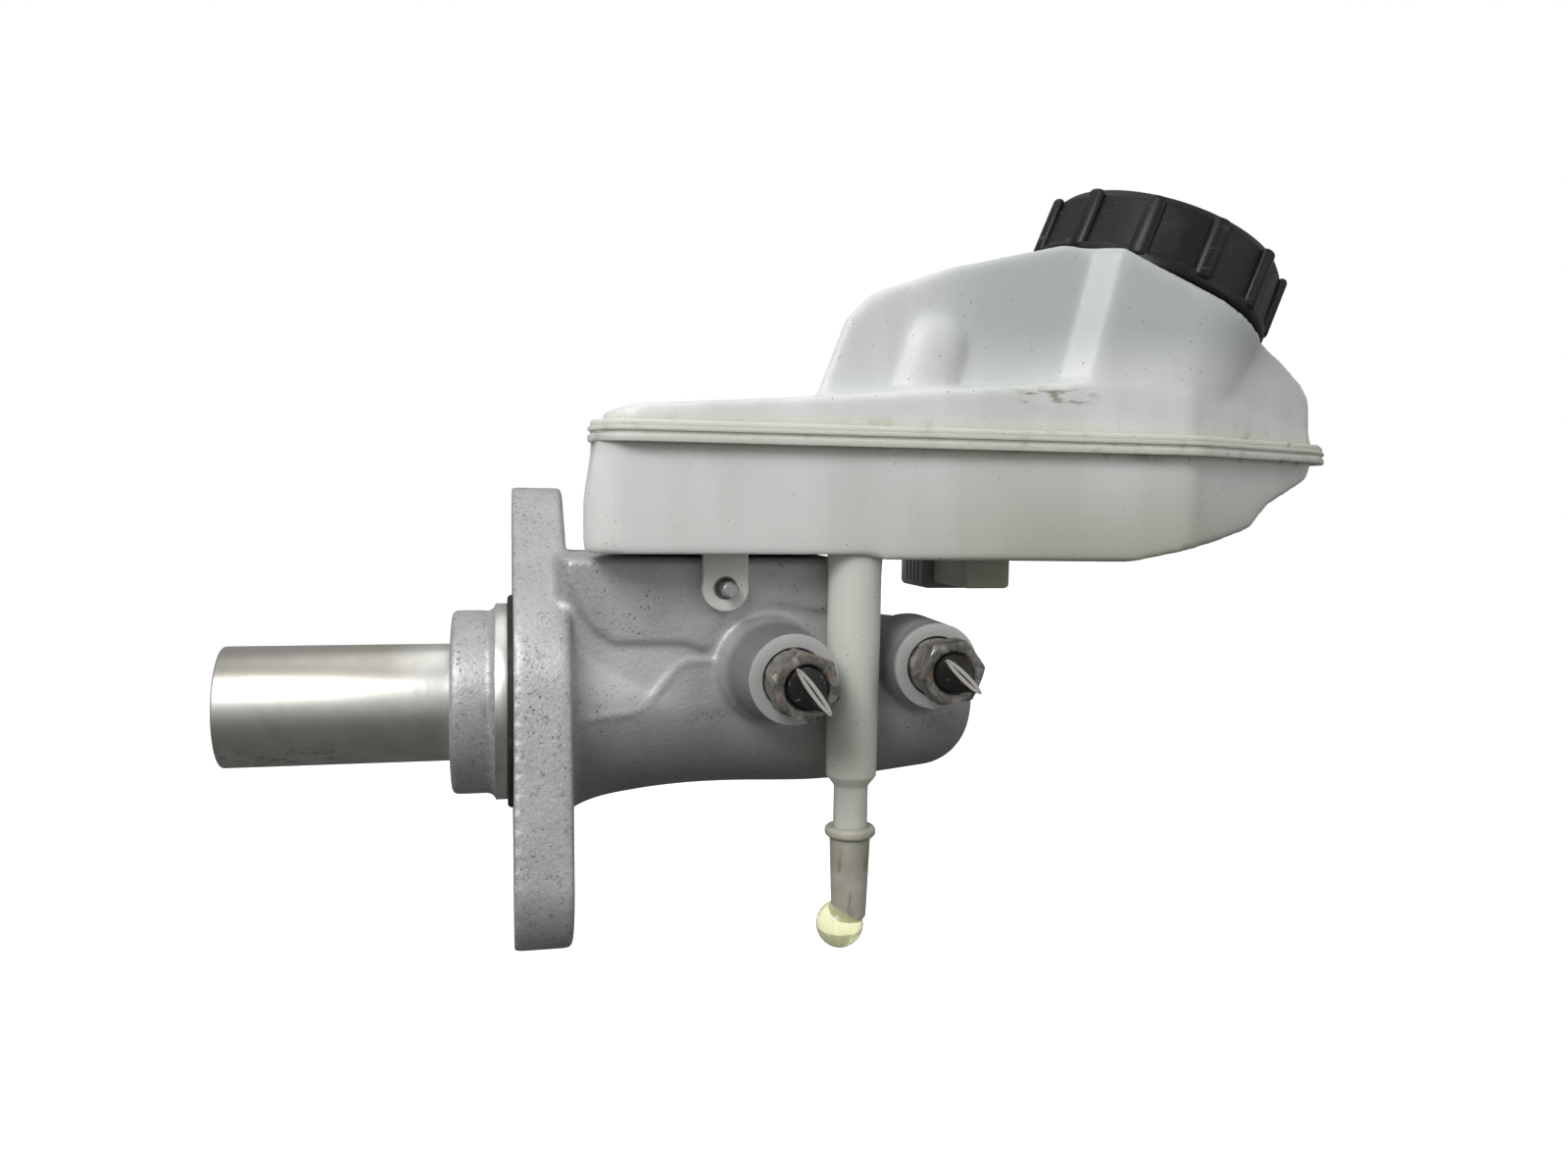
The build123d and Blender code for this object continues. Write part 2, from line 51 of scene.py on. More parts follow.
class Wire:
    """A shader node's output, so that shader maths reads as ordinary sums."""

    def __init__(self, tree, socket=None):
        self.tree = tree
        self.socket = socket

    def make(self, kind, settings, sockets, out=0):
        """Adds a node: its settings first, then the values or links of its sockets."""
        node = self.tree.nodes.new("ShaderNode" + kind)
        for name, value in settings.items():
            setattr(node, name, value)
        for key, value in sockets.items():
            if isinstance(value, Wire):
                self.tree.links.new(value.socket, node.inputs[key])
            else:
                node.inputs[key].default_value = value
        return Wire(self.tree, node.outputs[out])

    def maths(self, operation, first, second):
        return self.make("Math", {"operation": operation}, {0: first, 1: second})

    def __add__(self, other):
        return self.maths("ADD", self, other)

    __radd__ = __add__

    def __mul__(self, other):
        return self.maths("MULTIPLY", self, other)

    __rmul__ = __mul__

    def __sub__(self, other):
        return self.maths("SUBTRACT", self, other)

    def __rsub__(self, other):
        return self.maths("SUBTRACT", other, self)

    def fade(self, low, high):
        """0 below low and 1 above high, with a smooth step between."""
        span = {"Value": self, "From Min": low, "From Max": high}
        return self.make("MapRange", {"interpolation_type": "SMOOTHSTEP"}, span)

    def near(self, centre, width):
        """1 at centre, 0 further away than width."""
        gap = self.make("Math", {"operation": "ABSOLUTE"}, {0: self - centre})
        return 1 - gap.fade(width * 0.35, width)

    def noise(self, scale, detail=3.0, stretch=(1, 1, 1)):
        """Cloudy values about 0.5 at this many features a metre, drawn out along an axis."""
        place = self.make("Mapping", {}, {"Vector": self, "Scale": stretch})
        return self.make("TexNoise", {}, {"Vector": place, "Scale": scale, "Detail": detail})

    def over(self, under, colour):
        """colour where this mask is 1, under where it is 0."""
        return self.make("Mix", {"data_type": "RGBA"}, {0: self, 6: under, 7: colour}, 2)


def rgb(red, green, blue):
    return (red, green, blue, 1.0)


class Finish:
    """A material with a Principled shader; place is the piece's own position in metres."""

    def __init__(self, name, **constants):
        self.material = bpy.data.materials.new(name)
        self.material.use_nodes = True
        tree = self.material.node_tree
        self.shader = tree.nodes["Principled BSDF"]
        for socket, value in constants.items():
            self.shader.inputs[socket.replace("_", " ")].default_value = value
        self.place = Wire(tree).make("TexCoord", {}, {}, "Object")
        self.x = self.place.make("SeparateXYZ", {}, {0: self.place}, 0)
        self.y = self.place.make("SeparateXYZ", {}, {0: self.place}, 1)
        self.z = self.place.make("SeparateXYZ", {}, {0: self.place}, 2)

    def feed(self, socket, wire):
        wire.tree.links.new(wire.socket, self.shader.inputs[socket])

    def bump(self, height, distance):
        """Raises the surface by distance where height is 1."""
        self.feed("Normal", height.make("Bump", {}, {"Height": height, "Distance": distance}, "Normal"))

    def edge_pointiness(self):
        """About 0.5 on flats, more on outside edges and less in corners."""
        return self.place.make("NewGeometry", {}, {}, "Pointiness")


def put(bm, name, finish, body, slot, *nodes):
    """Turns a finished bmesh into a piece that rides on a body and stands for these nodes."""
    mesh = bpy.data.meshes.new(name)
    bm.to_mesh(mesh)
    bm.free()
    mesh.materials.append(finish.material)
    mesh.shade_smooth()
    mesh.set_sharp_from_angle(angle=math.radians(38))
    piece = bpy.data.objects.new(name, mesh)
    bpy.context.scene.collection.objects.link(piece)
    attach(piece, body)
    if nodes:
        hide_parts(*nodes)
    return piece


def reworked(bm, *steps):
    """The mesh after some of Blender's modifiers, each given as its kind and settings."""
    mesh = bpy.data.meshes.new("work")
    bm.to_mesh(mesh)
    bm.clear()
    work = bpy.data.objects.new("work", mesh)
    bpy.context.scene.collection.objects.link(work)
    for kind, settings in steps:
        modifier = work.modifiers.new(kind, kind)
        for name, value in settings.items():
            setattr(modifier, name, value)
    bm.from_object(work, bpy.context.evaluated_depsgraph_get())
    bpy.data.objects.remove(work)
    bpy.data.meshes.remove(mesh)
    return bm


def moulded(bm, grain, rounds):
    """Fuses overlapping blocks into one skin and rounds every edge, as casting does."""
    remesh = ("REMESH", {"mode": "VOXEL", "voxel_size": grain})
    return reworked(bm, remesh, ("SMOOTH", {"factor": 0.5, "iterations": rounds}))


def only(kind, items):
    """The corners, the edges or the faces among what a bmesh operation gives back."""
    return [item for item in items if isinstance(item, kind)]


def saw(bm, point, normal):
    """Throws away what lies beyond a plane and gives the edges of the hole that is left."""
    sawn = bmesh.ops.bisect_plane(
        bm, geom=bm.verts[:] + bm.edges[:] + bm.faces[:], plane_co=point, plane_no=normal, clear_outer=True
    )
    return only(bmesh.types.BMEdge, sawn["geom_cut"])


def cut(bm, point, normal):
    """Saws a closed block along a plane and closes the face."""
    rim = saw(bm, point, normal)
    if rim:
        bmesh.ops.edgeloop_fill(bm, edges=rim)


cast = Finish("cast_aluminium", Metallic=0.55, Specular_IOR_Level=0.4)
cast_blotch = cast.place.noise(70, 4)
cast_grain = cast.place.noise(2300, 3)
cast_pebble = cast.place.noise(900, 2)
cast_patch = cast.place.noise(110, 2).fade(0.5, 0.66)
cast_pits = cast.place.noise(1500, 1).fade(0.66, 0.72) * (0.25 + 0.75 * cast_patch)
cast_grime = (1 - cast.x.fade(0.012, 0.016)) * cast.place.noise(850, 8).fade(0.55, 0.74)
# Painted shade: ahead of the flange, the barrel's colour is painted darker towards its underside.
cast_underside_shade = (1 - cast.z.fade(-0.024, 0.012)) * cast.x.fade(0.0125, 0.016)
# Painted highlight: a lit patch on the slope below the seat block, about x 29 mm, is painted much lighter.
cast_slope_highlight = (
    cast.x.near(0.029, 0.014) * cast.z.near(0.009, 0.011) * (1 - cast.y.fade(-0.021, -0.019))
)
# Painted shade: the outer flanks of the outlet bosses, beyond y -25.5 mm and x 44 mm, are painted dark.
cast_boss_shade = (1 - cast.y.fade(-0.031, -0.0255)) * cast.x.fade(0.044, 0.048)
cast_colour = cast_blotch.fade(0.3, 0.7).over(rgb(0.45, 0.465, 0.465), rgb(0.56, 0.575, 0.57))
cast_colour = (cast_grain.fade(0.42, 0.62) * 0.5).over(cast_colour, rgb(0.62, 0.63, 0.62))
cast_colour = (cast_underside_shade * 0.55).over(cast_colour, rgb(0.20, 0.20, 0.19))
cast_colour = (cast_slope_highlight * 0.8).over(cast_colour, rgb(0.78, 0.79, 0.78))
cast_colour = (cast_boss_shade * 0.6).over(cast_colour, rgb(0.17, 0.175, 0.17))
cast_colour = (cast_grime * 0.6).over(cast_colour, rgb(0.15, 0.145, 0.13))
cast_colour = (cast_pits * 0.8).over(cast_colour, rgb(0.07, 0.07, 0.065))
cast_rubbed = cast.edge_pointiness().fade(0.53, 0.60) * (0.15 + 0.6 * cast_blotch) * cast.x.fade(0.001, 0.003)
cast_colour = cast_rubbed.over(cast_colour, rgb(0.74, 0.75, 0.74))
# Painted shade: inside corners and creases, where pointiness is low, are painted dark grey.
cast_colour = (1 - cast.edge_pointiness().fade(0.40, 0.48)).over(cast_colour, rgb(0.22, 0.22, 0.21))
cast.feed("Base Color", cast_colour)
cast.feed("Roughness", 0.42 + 0.2 * cast_grain + 0.2 * cast_pits)
cast.bump(0.35 * cast_grain + 0.9 * cast_pebble - 0.8 * cast_pits, 0.12 * mm)

body = bmesh.new()
body.from_mesh(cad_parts["cylinder_body"].data)
bmesh.ops.remove_doubles(body, verts=body.verts, dist=0.01 * mm)
parting_line = (
    (14.0, -26.9, -1.2), (19.0, -25.2, -0.7), (28.0, -23.5, 0.0), (30.4, -23.1, 1.4), (37.3, -22.45, 9.8),
    (39.7, -22.45, 11.6), (47.5, -22.45, 12.0),
)
ridge_depth = 4
ridge_width = 0.55
front_end = 115.7
crest = [body.verts.new(Vector(point) * mm) for point in parting_line]
crest_edges = [body.edges.new(pair) for pair in zip(crest, crest[1:])]
fin = bmesh.ops.extrude_edge_only(body, edges=crest_edges)["geom"]
bmesh.ops.translate(body, verts=only(bmesh.types.BMVert, fin), vec=(0, ridge_depth * mm, 0))
bmesh.ops.solidify(body, geom=only(bmesh.types.BMFace, fin), thickness=ridge_width * mm)
cut(body, Vector((front_end, 0, 0)) * mm, Vector((1, 0, 0)))
body = moulded(body, 0.82 * mm, 6)
put(body, "casting", cast, "cylinder", "cast_aluminium", "cylinder_body")

# ---- machined faces --------------------------------------------------------------------
# Places where the casting was turned or spot-faced after it cooled: the register that
# centres it in the booster and the flat ring round each brake outlet. Bare cut aluminium.


def turned(profile, steps=72, place=Matrix.Identity(4)):
    """A ring or a round solid spun from (radius, height) points about its own Z axis."""
    bm = bmesh.new()
    points = [bm.verts.new((radius * mm, 0, height * mm)) for radius, height in profile]
    edges = [bm.edges.new(pair) for pair in zip(points, points[1:] + points[:1])]
    bmesh.ops.spin(
        bm, geom=points + edges, cent=(0, 0, 0), axis=(0, 0, 1), angle=math.tau, steps=steps, use_merge=True
    )
    bmesh.ops.remove_doubles(bm, verts=bm.verts, dist=0.001 * mm)
    bmesh.ops.dissolve_degenerate(bm, edges=bm.edges, dist=0.001 * mm)
    bmesh.ops.recalc_face_normals(bm, faces=bm.faces)
    bmesh.ops.transform(bm, matrix=place, verts=bm.verts)
    return bm


def soften(bm, width, segments=2, corner=35):
    """Rounds every edge that is sharper than corner degrees."""
    edges = [e for e in bm.edges if e.is_manifold and e.calc_face_angle() > math.radians(corner)]
    bmesh.ops.bevel(
        bm, geom=edges, offset=width * mm, segments=segments, profile=0.5, affect="EDGES",
        clamp_overlap=True, material=-1,
    )
    return bm


def join(*parts):
    """One bmesh from several."""
    whole = parts[0]
    for part in parts[1:]:
        mesh = bpy.data.meshes.new("join")
        part.to_mesh(mesh)
        part.free()
        whole.from_mesh(mesh)
        bpy.data.meshes.remove(mesh)
    return whole


along_bore = Matrix.Rotation(math.radians(90), 4, "Y")
rear_port = Vector((61.5, -41.0, 10.0)) * mm
front_port = Vector((99.1, -31.0, 11.0)) * mm
out_of_port = Matrix.Rotation(math.radians(90), 4, "X")

cut_metal = Finish("machined_aluminium")
rings = cut_metal.place.noise(1.0, 2, (5200, 60, 60))
stain = cut_metal.place.noise(140, 5)
scuff = cut_metal.place.noise(420, 4, (1, 1, 2.5)).fade(0.56, 0.66)
scuffed = scuff * (1 - cut_metal.z.fade(-0.010, -0.001)) * (1 - cut_metal.x.fade(-0.045, -0.03))
cut_colour = stain.fade(0.35, 0.7).over(rgb(0.86, 0.85, 0.80), rgb(0.72, 0.71, 0.66))
cut_colour = (scuffed * 0.7).over(cut_colour, rgb(0.30, 0.27, 0.22))
# Painted shade: the top of the guide tube is painted darker and yellower to dim the highlight there.
tube_top_shade = cut_metal.z.fade(0.003, 0.010) * (1 - cut_metal.x.fade(-0.03, -0.02))
cut_colour = (tube_top_shade * 0.65).over(cut_colour, rgb(0.42, 0.40, 0.34))
at_port = cut_metal.x.fade(0.02, 0.03)
cut_colour = at_port.over(cut_colour, rgb(0.52, 0.525, 0.515))
cut_metal.feed("Base Color", cut_colour)
cut_metal.feed("Metallic", 1 - 0.65 * at_port)
cut_metal.feed("Roughness", 0.27 + 0.12 * rings + 0.1 * stain + 0.2 * scuffed + 0.2 * at_port)
cut_metal.bump(0.5 * rings + 0.12 * stain - 0.3 * scuffed, 0.035 * mm)

register = soften(turned([(20.8, -4.2), (24.05, -4.2), (24.05, -0.2), (20.8, -0.2)], 96, along_bore), 0.3)
spot_profile = [(7.4, -1.8), (10.38, -1.8), (10.38, 0.3), (7.4, 0.3)]
spot_faces = [
    soften(turned(spot_profile, 64, Matrix.Translation(port) @ out_of_port), 0.15)
    for port in (rear_port, front_port)
]
put(join(register, *spot_faces), "machined_faces", cut_metal, "cylinder", "machined_aluminium")

# ---- guide tube ------------------------------------------------------------------------
# The long sleeve that reaches into the brake booster and carries the primary piston.
# Turned from aluminium bar, satin from the tool, with a circlip groove inside its mouth.
tube_bore = 11.9
tube_outside = 14.25
groove = 13.0
sleeve = turned([
    (tube_bore, -66), (tube_outside, -66), (tube_outside, -2), (tube_bore, -2), (tube_bore, -60.2),
    (groove, -60.2), (groove, -61.6), (tube_bore, -61.6),
], 96, along_bore)
put(soften(sleeve, 0.55, 3), "guide_sleeve", cut_metal, "cylinder", "machined_aluminium", "guide_tube")

# ---- rubber seals ----------------------------------------------------------------------
# The O-ring that seals the booster, the two grommets that grip the reservoir's spouts, the
# cup seals in the bore and the gasket inside the filler cap. Black moulded rubber.
rubber = Finish("black_rubber", Specular_IOR_Level=0.45)
bloom = rubber.place.noise(300, 4)
rubber_grain = rubber.place.noise(3000, 2)
rubber.feed("Base Color", bloom.fade(0.5, 0.8).over(rgb(0.016, 0.016, 0.016), rgb(0.05, 0.05, 0.048)))
rubber.feed("Roughness", 0.5 + 0.25 * bloom)
rubber.bump(rubber_grain, 0.03 * mm)


def dress(finish, *names):
    """Gives CAD nodes that keep their own shape a finish in place of their plain colour."""
    for name in names:
        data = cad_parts[name].data
        data.materials.clear()
        data.materials.append(finish.material)


dress(
    rubber, "booster_seal", "rear_grommet", "front_grommet", "rear_cup", "separator_cup", "feed_cups",
    "cap_gasket",
)

# ---- reservoir, lower shell ------------------------------------------------------------
# Half of the fluid tank: injection-moulded milky plastic, 2.5 mm thick, with the spouts,
# pin lugs, sensor tunnel and clutch feed nozzle in one piece with it. Age has yellowed it.
plastic = Finish(
    "reservoir_plastic", Subsurface_Weight=0.55, Subsurface_Scale=5 * mm, Subsurface_Radius=(1.0, 1.0, 0.85),
    Specular_IOR_Level=0.42, Coat_Roughness=0.2, IOR=1.48,
)
cloud = plastic.place.noise(22, 3)
streak = plastic.place.noise(30, 3, (1.6, 1, 0.35))
skin = plastic.place.noise(700, 3)
speck = plastic.place.noise(1700, 0).fade(0.815, 0.85) * 0.8
low_down = 1 - plastic.z.fade(0.030, 0.070)
right_end_shade = plastic.x.fade(0.06, 0.13)
down_pipe = 1 - plastic.z.fade(-0.03, 0.03)
at_seam = plastic.z.near(0.065, 0.006)
dirt = plastic.place.noise(170, 6)
seam_dirt = at_seam * dirt.fade(0.56, 0.72) * (0.35 + 0.65 * plastic.x.fade(0.10, 0.2))
ledge_dirt = (
    plastic.x.near(0.125, 0.013) * plastic.z.near(0.0755, 0.0035)
    * plastic.place.noise(300, 7, (0.5, 1, 1.8)).fade(0.50, 0.66) * (1 - plastic.y.fade(-0.034, -0.03))
)
tail_dirt = plastic.x.fade(0.204, 0.22) * plastic.place.noise(240, 6).fade(0.5, 0.68)
plastic_colour = streak.fade(0.35, 0.68).over(rgb(0.72, 0.745, 0.715), rgb(0.86, 0.885, 0.865))
plastic_colour = (low_down * (0.25 + 0.5 * cloud)).over(plastic_colour, rgb(0.78, 0.785, 0.70))
# Painted shade: the lower right of the tank, away from the key lamp, is painted dark olive.
plastic_colour = (low_down * right_end_shade * 0.8).over(plastic_colour, rgb(0.44, 0.435, 0.345))
high_up = plastic.z.fade(0.080, 0.094) * plastic.x.fade(0.085, 0.115) * (0.6 + 0.5 * streak)
plastic_colour = high_up.over(plastic_colour, rgb(0.52, 0.55, 0.555))
plastic_colour = (down_pipe * 0.5).over(plastic_colour, rgb(0.74, 0.75, 0.62))
plastic_colour = (at_seam * 0.55).over(plastic_colour, rgb(0.76, 0.74, 0.58))
plastic_colour = (seam_dirt * 0.8).over(plastic_colour, rgb(0.30, 0.26, 0.17))
plastic_colour = (ledge_dirt * 0.8).over(plastic_colour, rgb(0.20, 0.17, 0.12))
plastic_colour = (tail_dirt * 0.5).over(plastic_colour, rgb(0.38, 0.33, 0.22))
plastic_colour = speck.over(plastic_colour, rgb(0.12, 0.10, 0.08))
plastic.feed("Base Color", plastic_colour)
plastic.feed("Roughness", 0.30 + 0.18 * cloud + 0.25 * seam_dirt)
plastic.bump(0.6 * skin + 2.5 * cloud, 0.05 * mm)


def side_block(outline, y0, y1):
    """Straight block across the reservoir with this (x, z) outline."""
    bm = bmesh.new()
    face = bm.faces.new([bm.verts.new((x * mm, y0 * mm, z * mm)) for x, z in outline])
    grown = bmesh.ops.extrude_face_region(bm, geom=[face])
    far_end = only(bmesh.types.BMVert, grown["geom"])
    bmesh.ops.translate(bm, verts=far_end, vec=(0, (y1 - y0) * mm, 0))
    bmesh.ops.recalc_face_normals(bm, faces=bm.faces)
    return bm


corner_cuts = 6


def trim(bm, plan, corner, grow=0.0):
    """Cuts a block to a plan outline, its corners rounded and its sides moved out by grow."""
    points = [Vector((x, y, 0)) * mm for x, y in plan]
    for before, here, after in zip(points[-1:] + points[:-1], points, points[1:] + points[:1]):
        arriving = (here - before).normalized()
        leaving = (after - here).normalized()
        first = Vector((arriving.y, -arriving.x, 0))
        last = Vector((leaving.y, -leaving.x, 0))
        middle = (first + last).normalized()
        centre = here - middle * (corner * mm / middle.dot(first))
        for step in range(corner_cuts):
            normal = first.lerp(last, step / (corner_cuts - 1)).normalized()
            cut(bm, centre + normal * (corner + grow) * mm, normal)
    return bm


def post(x, y, profile):
    """Upright round piece at (x, y) spun from (radius, height) points."""
    return turned(profile, 48, Matrix.Translation((x * mm, y * mm, 0)))


shell_plan = [(18, -37), (162, -37), (211, -15), (225.5, 2), (223, 19), (196, 31), (42, 31), (26, 14)]
pan_plan = [(13.2, -37)] + shell_plan[1:-1] + [(24.5, 14)]
shell_corner = 8
sides = (-50, 45)  # y of blocks that reach past the tank on both sides, for trim() to cut
seam = 65.0
wall = 2.4


def rim_band(z0, z1, grow):
    """One ridge of the weld flange that runs round the seam."""
    slab = side_block([(0, z0), (0, z1), (240, z1), (240, z0)], *sides)
    trim(slab, shell_plan, shell_corner, grow)
    ends = [f for f in slab.faces if abs(f.normal.z) > 0.9]
    bmesh.ops.delete(slab, geom=ends, context="FACES")
    bmesh.ops.remove_doubles(slab, verts=slab.verts, dist=0.2 * mm)
    slab = reworked(slab, ("SOLIDIFY", {"thickness": (grow + 2.0) * mm, "offset": -1}))
    return soften(slab, 0.3, 2, 60)


def block(x0, x1, y0, y1, z0, z1, round_off=0.6):
    """Plain moulded block with softened edges."""
    return soften(side_block([(x0, z0), (x0, z1), (x1, z1), (x1, z0)], y0, y1), round_off)


lower_side = [
    (17.5, 75), (17.5, 61), (12.6, 37.8), (76, 38.0), (84, 36.8), (147, 36.4), (173, 41.2), (187, 44.6),
    (194, 50.6), (222, 62), (234, 65), (234, 75),
]
pan = moulded(trim(side_block(lower_side, *sides), pan_plan, shell_corner), 1.0 * mm, 14)
saw(pan, (0, 0, seam * mm), (0, 0, 1))
pan = reworked(pan, ("SOLIDIFY", {"thickness": wall * mm, "offset": -1}))

pin_x = 48.8
pin_z = 29.4
lug_inside = 23.3
lug_outside = 26.5
lugs = []
for side in (-1, 1):
    facing_out = Matrix.Rotation(math.radians(-90 * side), 4, "X")
    eye = turned(
        [(2.75, lug_inside), (5.5, lug_inside), (5.5, lug_outside), (2.75, lug_outside)], 48,
        Matrix.Translation(((pin_x - 0.5) * mm, 0, (pin_z + 0.2) * mm)) @ facing_out,
    )
    near, far = sorted((side * lug_inside, side * lug_outside))
    strap = join(
        eye,
        side_block([(43.0, 29.6), (43.0, 39.5), (45.5, 39.5), (45.5, 29.6)], near, far),
        side_block([(51.1, 29.6), (51.1, 39.5), (53.6, 39.5), (53.6, 29.6)], near, far),
        side_block([(44.0, 32.6), (44.0, 39.5), (53.0, 39.5), (53.0, 32.6)], near, far),
    )
    lugs.append(moulded(strap, 0.4 * mm, 4))

nozzle_x = 78.8
nozzle_y = -29.0
nozzle = post(nozzle_x, nozzle_y, [
    (2.2, 41.5), (6.9, 41.5), (6.5, 37.0), (6.3, 33.0), (6.3, 20), (6.0, -15), (4.1, -17.5), (4.1, -30),
    (3.6, -30), (3.6, -47), (2.2, -47),
])
spouts = [post(x, 0, [(4.6, 27), (6.1, 27), (6.5, 28), (6.5, 40.4), (4.6, 40.4)]) for x in (34.0, 63.0)]
baffles = [block(x - 1, x + 1, -34, far, 39.2, 58.8, 0.3) for x, far in ((24.0, -3), (48.5, 28), (92.0, 28))]
float_x = 124
float_guide = post(float_x, 8, [(0, 39), (1.8, 39), (1.8, 59), (1.2, 60), (0, 60)])
tunnel = block(117.5, 130.5, -2.5, 22.5, 27.5, 39.0, 1.2)
put(
    join(
        pan, *lugs, soften(nozzle, 0.5, 3), *spouts, *baffles, float_guide, tunnel,
        rim_band(62.6, 64.3, 3.15), rim_band(64.2, 65.0, 2.6),
    ),
    "reservoir_pan", plastic, "cylinder", "reservoir_plastic", "lower_shell",
)

# ---- reservoir, upper shell ------------------------------------------------------------
# The other half of the tank, hot-plate welded to the pan at the ridged seam: a flat deck,
# the tall bulb that holds the fluid, a domed pocket beside it and the leaning filler neck.
cap_lean = Matrix.Translation((165.4 * mm, -4 * mm, 104.0 * mm)) @ Matrix.Rotation(math.radians(22), 4, "Y")
deck_side = [
    (13, 55), (13, 67.4), (26, 71), (62, 73.6), (128, 79.2), (150, 79.2), (226, 67.6), (234, 65), (234, 55),
]
bulb_side = [
    (60, 55), (60, 65), (72, 74), (79, 92.6), (85, 98.6), (105, 106.6), (129, 112.6), (141.5, 112.3),
    (197, 89.4), (207, 84), (217, 75), (224, 65), (224, 55),
]
bulb_plan = [(88, -31), (161.8, -31), (210.6, -14.7), (224, 2), (221, 18.6), (194.6, 30.6), (103, 30.6)]
brow_plan = [(125, -30), (135, -36.6), (161.8, -36.6), (210.6, -14.7), (224, 2), (180, 2)]
bulb_corner = 5
tail_side = [(60, 55), (60, 65), (72, 74), (79, 92.6), (85, 98.6), (105, 105.9), (112, 107.4), (112, 55)]
tail = side_block(tail_side, -31, 30.6)
lean_back = Matrix.Identity(4)
lean_back[0][1] = 15 / 61.6
bmesh.ops.transform(tail, matrix=Matrix.Translation((3.6 * mm, 0, 0)) @ lean_back, verts=tail.verts)
brow = trim(side_block(bulb_side, *sides), brow_plan, bulb_corner)
step_foot = Vector((129.5, -33, 76)) * mm
cut(brow, step_foot, Vector((8, -6.6, 0)).cross(Vector((8, 0, 32))))
pocket_tilt = math.atan2(0.30, 0.954)
pocket_lean = Matrix.Translation((92 * mm, -23.5 * mm, 70 * mm)) @ Matrix.Rotation(pocket_tilt, 4, "Y")
dome_profile = [(0, 0), (11, 0), (11, 18), (10.2, 22.2), (7.8, 25.8), (4.2, 28.2), (0, 29)]
lid = join(
    trim(side_block(deck_side, *sides), shell_plan, shell_corner),
    trim(side_block(bulb_side, *sides), bulb_plan, bulb_corner),
    tail,
    brow,
    turned(dome_profile, 48, pocket_lean),
    turned([(0, -26), (32.8, -26), (32.8, -1.2), (0, -1.2)], 96, cap_lean),
)
lid = moulded(lid, 0.9 * mm, 15)
saw(lid, (0, 0, seam * mm), (0, 0, -1))
to_neck = cap_lean.inverted()


def in_mouth(face):
    """Whether a face of the hood closes the neck's opening."""
    centre = to_neck @ face.calc_center_median()
    return centre.xy.length < 27 * mm and centre.z > -12 * mm


bmesh.ops.delete(lid, geom=[f for f in lid.faces if in_mouth(f)], context="FACES")
lid = reworked(lid, ("SOLIDIFY", {"thickness": wall * mm, "offset": -1}))
neck = turned([
    (26.0, -4), (28.4, -4), (28.4, 3.4), (29.3, 3.7), (29.3, 4.8), (28.4, 5.1), (28.4, 7.9), (29.3, 8.2),
    (29.3, 9.3), (28.4, 9.6), (28.4, 12.6), (28.0, 13.0), (26.0, 13.0),
], 96, cap_lean)
put(
    join(lid, neck, rim_band(65.0, 66.0, 3.15), rim_band(65.9, 67.4, 2.6)),
    "reservoir_hood", plastic, "cylinder", "reservoir_plastic", "upper_shell",
)

# ---- strainer --------------------------------------------------------------------------
# The drop-in basket that keeps grit out of the fluid: thin natural nylon, inside the neck.
nylon = Finish("strainer_plastic", Subsurface_Weight=0.3, Subsurface_Scale=2 * mm)
nylon_cloud = nylon.place.noise(90, 3)
nylon.feed("Base Color", nylon_cloud.over(rgb(0.72, 0.71, 0.64), rgb(0.85, 0.84, 0.78)))
nylon.feed("Roughness", 0.35 + 0.2 * nylon_cloud)
nylon.bump(nylon.place.noise(1600, 2), 0.02 * mm)
dress(nylon, "strainer")

# ---- filler cap ------------------------------------------------------------------------
# The screw cap: black glass-filled nylon with twelve finger ribs and a thin skirt. It is
# moulded in one shot, slightly dusty, and scuffed where fingers and tools have caught it.
black = Finish("cap_plastic", Specular_IOR_Level=0.36)
dust = black.place.noise(130, 6)
fine = black.place.noise(2400, 2)
scratch = black.place.noise(260, 3, (0.35, 1, 3.5)).fade(0.67, 0.70)
black_colour = dust.fade(0.55, 0.85).over(rgb(0.007, 0.007, 0.0065), rgb(0.03, 0.029, 0.025))
black_colour = (scratch * 0.4).over(black_colour, rgb(0.16, 0.15, 0.13))
black_colour = (black.edge_pointiness().fade(0.52, 0.60) * 0.5).over(black_colour, rgb(0.05, 0.05, 0.046))
black.feed("Base Color", black_colour)
black.feed("Roughness", 0.30 + 0.25 * dust + 0.2 * scratch)
black.bump(0.5 * fine + 0.8 * black.place.noise(600, 3) - 0.6 * scratch, 0.03 * mm)

crown = soften(turned([
    (0, 15.9), (30.3, 15.9), (30.3, -0.8), (32.6, -0.8), (32.6, 1.8), (31.7, 2.2), (31.3, 15.2), (29.6, 17.6),
    (22, 17.9), (20.5, 17.2), (0, 17.2),
], 112, cap_lean), 0.5, 3, 25)
rib_count = 12
rib_reach = 31.8
first_rib = math.radians(25)
rib = bmesh.new()
bmesh.ops.create_cone(rib, cap_ends=True, segments=24, radius1=2.45 * mm, radius2=2.25 * mm, depth=15.6 * mm)
soften(rib, 1.0, 3, 50)
bmesh.ops.scale(rib, verts=rib.verts, vec=(0.58, 1, 1))
bmesh.ops.translate(rib, verts=rib.verts, vec=(rib_reach * mm, 0, 8.4 * mm))
bmesh.ops.rotate(rib, verts=rib.verts, cent=(0, 0, 0), matrix=Matrix.Rotation(first_rib, 3, "Z"))
